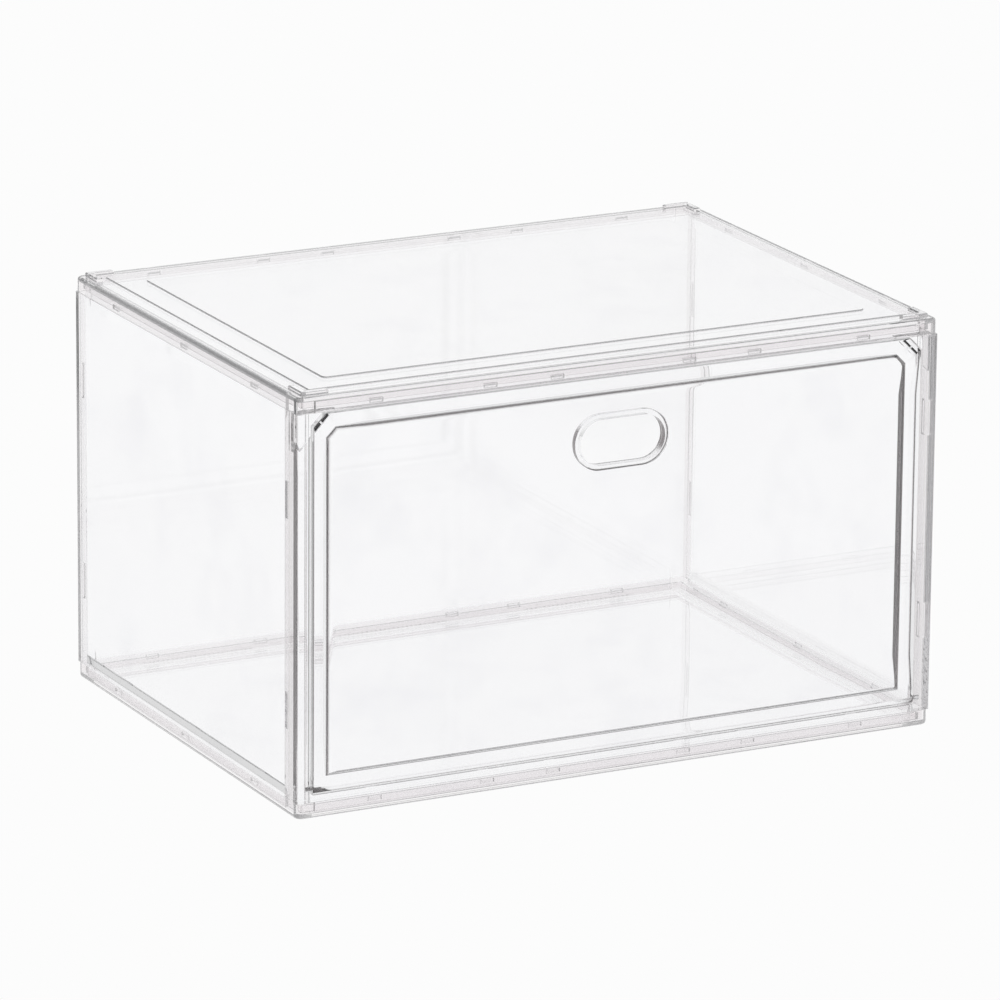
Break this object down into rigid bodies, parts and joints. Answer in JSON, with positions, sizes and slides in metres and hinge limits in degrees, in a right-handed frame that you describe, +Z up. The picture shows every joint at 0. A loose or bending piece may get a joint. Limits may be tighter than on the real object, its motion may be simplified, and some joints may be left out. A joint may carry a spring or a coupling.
{
  "type": "storage_box",
  "caption": "Clear stackable storage box with a clip-fit top and a magnetic drop-front door with a finger hole",
  "frame": {"origin": "on the table, under the middle of the box", "axes": "X runs along the width with +X to the right of someone who faces the door, +Y runs from the door to the back, +Z is up"},
  "size_m": [0.34, 0.25, 0.2084],
  "materials": {
    "clear_plastic": "clear, polished",
    "magnet_metal": "nickel plated"
  },
  "bodies": {
    "box": {"base_panel": "clear_plastic", "top_panel": "clear_plastic", "left_side_panel": "clear_plastic", "right_side_panel": "clear_plastic", "back_panel": "clear_plastic", "front_frame": "clear_plastic", "left_frame_magnets": "magnet_metal", "right_frame_magnets": "magnet_metal"},
    "door": {"front_door": "clear_plastic", "left_door_magnets": "magnet_metal", "right_door_magnets": "magnet_metal"}
  },
  "joints": [
    {"name": "door_hinge", "type": "hinge", "parent": "box", "child": "door", "pos_m": [0, -0.1221, 0.0164], "axis": [1, 0, 0], "range_deg": [0, 94]}
  ]
}
